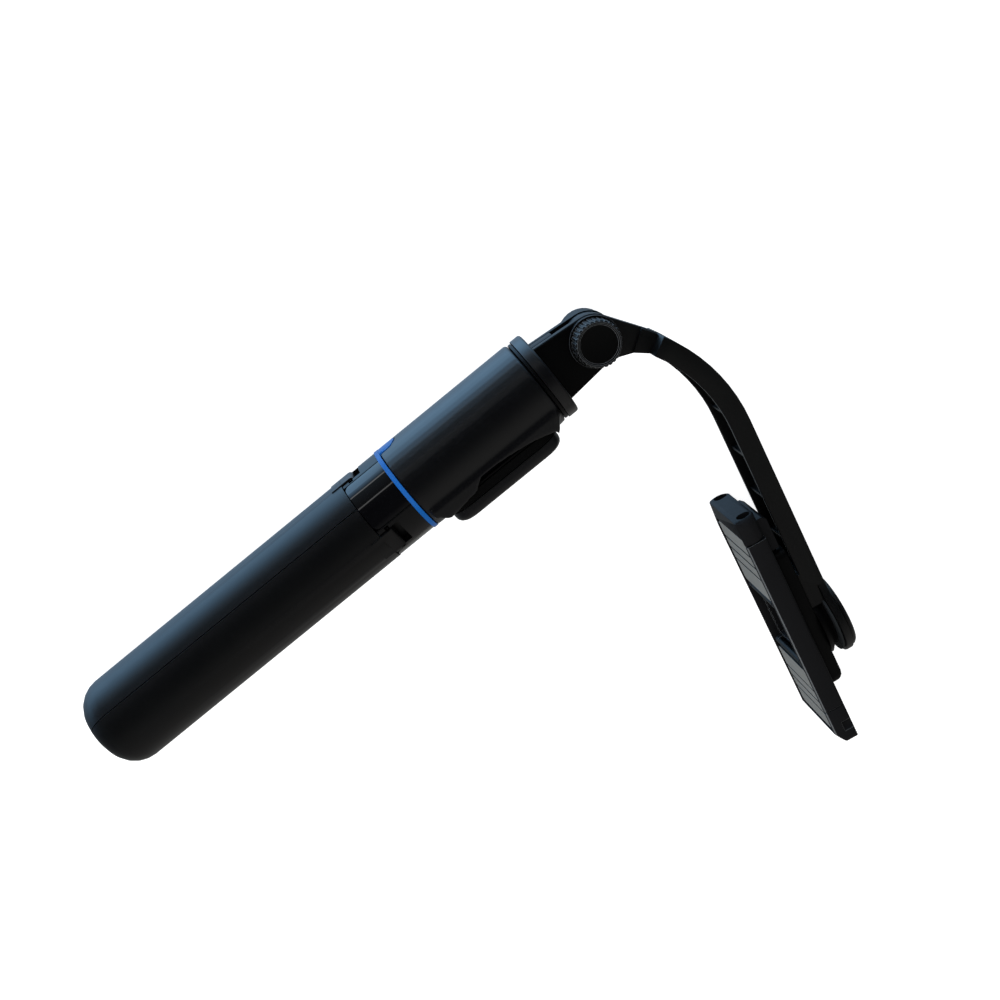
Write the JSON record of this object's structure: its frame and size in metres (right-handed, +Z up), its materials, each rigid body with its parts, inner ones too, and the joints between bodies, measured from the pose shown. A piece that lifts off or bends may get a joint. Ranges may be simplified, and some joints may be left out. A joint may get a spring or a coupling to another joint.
{
  "type": "selfie stick",
  "caption": "Folding selfie stick: tripod legs that close into a grip, telescopic mast, pull-out remote, tilting yoke, curved ribbed arm and sprung phone clamp with fold-out flaps.",
  "frame": {"origin": "middle of the underside of the bounding box, with the stick lying on its side", "axes": "+X runs along the closed handle from the legs' tips to the head, +Y from the clamp towards the handle, +Z up, along the yoke's pivot bolt"},
  "size_m": [0.2506, 0.2022, 0.0343],
  "materials": {
    "soft_black": "soft-touch coated moulded plastic",
    "matte_black": "fine spark-textured moulded plastic",
    "gloss_black": "polished moulded plastic",
    "blue": "satin blue moulded plastic",
    "grey_rubber": "matt silicone rubber",
    "steel": "drawn and polished steel",
    "spring_steel": "drawn spring wire",
    "circuit_board": "solder-masked board"
  },
  "bodies": {
    "handle": {"leg_hub": "soft_black", "hub_window_1": "gloss_black", "hub_window_2": "gloss_black", "hub_window_3": "gloss_black", "trim_ring": "blue", "grip_housing": "soft_black", "dock_plate": "matte_black", "leg_pin_1": "steel", "leg_pin_2": "steel", "leg_pin_3": "steel", "mast_tube_1": "steel"},
    "leg_1": {"leg_1": "soft_black"},
    "leg_2": {"leg_2": "soft_black"},
    "leg_3": {"leg_3": "soft_black"},
    "mast_2": {"mast_tube_2": "steel"},
    "mast_3": {"mast_tube_3": "steel"},
    "mast_4": {"mast_tube_4": "steel"},
    "mast_5": {"mast_tube_5": "steel"},
    "mast_6": {"mast_tube_6": "steel", "neck_plug": "matte_black"},
    "head": {"collar": "matte_black", "yoke": "matte_black", "swivel_screw": "steel", "pivot_nut": "matte_black", "pivot_bolt": "steel"},
    "knob": {"knob": "matte_black"},
    "arm": {"arm": "matte_black", "pad_cover": "matte_black"},
    "clamp": {"clamp_body": "matte_black", "lower_end_cap": "matte_black", "clamp_back_cover": "matte_black", "swivel_hub": "matte_black", "swivel_washer": "grey_rubber", "swivel_shaft": "steel", "spring_1": "spring_steel", "spring_2": "spring_steel", "lower_flap_pin": "steel"},
    "jaw": {"slide_jaw": "matte_black", "guide_rod_1": "steel", "guide_rod_2": "steel", "upper_flap_pin": "steel"},
    "upper_flap": {"upper_flap": "matte_black", "upper_flap_pad": "grey_rubber"},
    "lower_flap": {"lower_flap": "matte_black", "lower_flap_pad": "grey_rubber"},
    "remote": {"remote_base": "matte_black", "coin_cell": "steel", "remote_board": "circuit_board", "remote_cover": "soft_black"},
    "button": {"remote_button": "grey_rubber"}
  },
  "joints": [
    {"name": "leg_1_swing", "type": "hinge", "parent": "handle", "child": "leg_1", "pos_m": [0.00142, 0.09932, 0.0162], "axis": [0, -0.0628, -0.998], "range_deg": [0, 62]},
    {"name": "leg_2_swing", "type": "hinge", "parent": "handle", "child": "leg_2", "pos_m": [0.00142, 0.07739, 0.03076], "axis": [0, 0.8957, 0.4446], "range_deg": [0, 62]},
    {"name": "leg_3_swing", "type": "hinge", "parent": "handle", "child": "leg_3", "pos_m": [0.00142, 0.07573, 0.00449], "axis": [0, -0.8329, 0.5534], "range_deg": [0, 62]},
    {"name": "mast_slide_1", "type": "slide", "parent": "handle", "child": "mast_2", "axis": [1, 0, 0], "range_m": [0, 0.15]},
    {"name": "mast_slide_2", "type": "slide", "parent": "mast_2", "child": "mast_3", "axis": [1, 0, 0], "range_m": [0, 0.15]},
    {"name": "mast_slide_3", "type": "slide", "parent": "mast_3", "child": "mast_4", "axis": [1, 0, 0], "range_m": [0, 0.15]},
    {"name": "mast_slide_4", "type": "slide", "parent": "mast_4", "child": "mast_5", "axis": [1, 0, 0], "range_m": [0, 0.15]},
    {"name": "mast_slide_5", "type": "slide", "parent": "mast_5", "child": "mast_6", "axis": [1, 0, 0], "range_m": [0, 0.15]},
    {"name": "head_swivel", "type": "hinge", "parent": "mast_6", "child": "head", "pos_m": [-0.12528, 0.08415, 0.01715], "axis": [1, 0, 0], "continuous": true},
    {"name": "knob_turn", "type": "hinge", "parent": "head", "child": "knob", "pos_m": [0.09742, 0.08415, 0.01715], "axis": [0, 0, 1], "range_deg": [0, 540]},
    {"name": "arm_tilt", "type": "hinge", "parent": "head", "child": "arm", "pos_m": [0.09742, 0.08415, 0.01715], "axis": [0, 0, 1], "range_deg": [-70, 148]},
    {"name": "clamp_swivel", "type": "hinge", "parent": "arm", "child": "clamp", "pos_m": [0.08551, -0.05584, 0.01715], "axis": [0.9818, -0.19, 0], "continuous": true},
    {"name": "jaw_slide", "type": "slide", "parent": "clamp", "child": "jaw", "axis": [0.19, 0.9818, 0], "range_m": [0, 0.053], "stiffness_N_per_m": 120, "springref_m": -0.02, "deforming": ["spring_1", "spring_2"]},
    {"name": "upper_flap_fold", "type": "hinge", "parent": "jaw", "child": "upper_flap", "pos_m": [0.09093, -0.03703, 0.01715], "axis": [0, 0, 1], "range_deg": [0, 90]},
    {"name": "lower_flap_fold", "type": "hinge", "parent": "clamp", "child": "lower_flap", "pos_m": [0.08584, -0.06334, 0.01715], "axis": [0, 0, -1], "range_deg": [0, 90]},
    {"name": "remote_lift", "type": "slide", "parent": "handle", "child": "remote", "axis": [0, -0.998, 0.0628], "range_m": [0, 0.03]},
    {"name": "button_press", "type": "slide", "parent": "remote", "child": "button", "axis": [0, 0.998, -0.0628], "range_m": [0, 0.0008], "stiffness_N_per_m": 800}
  ]
}
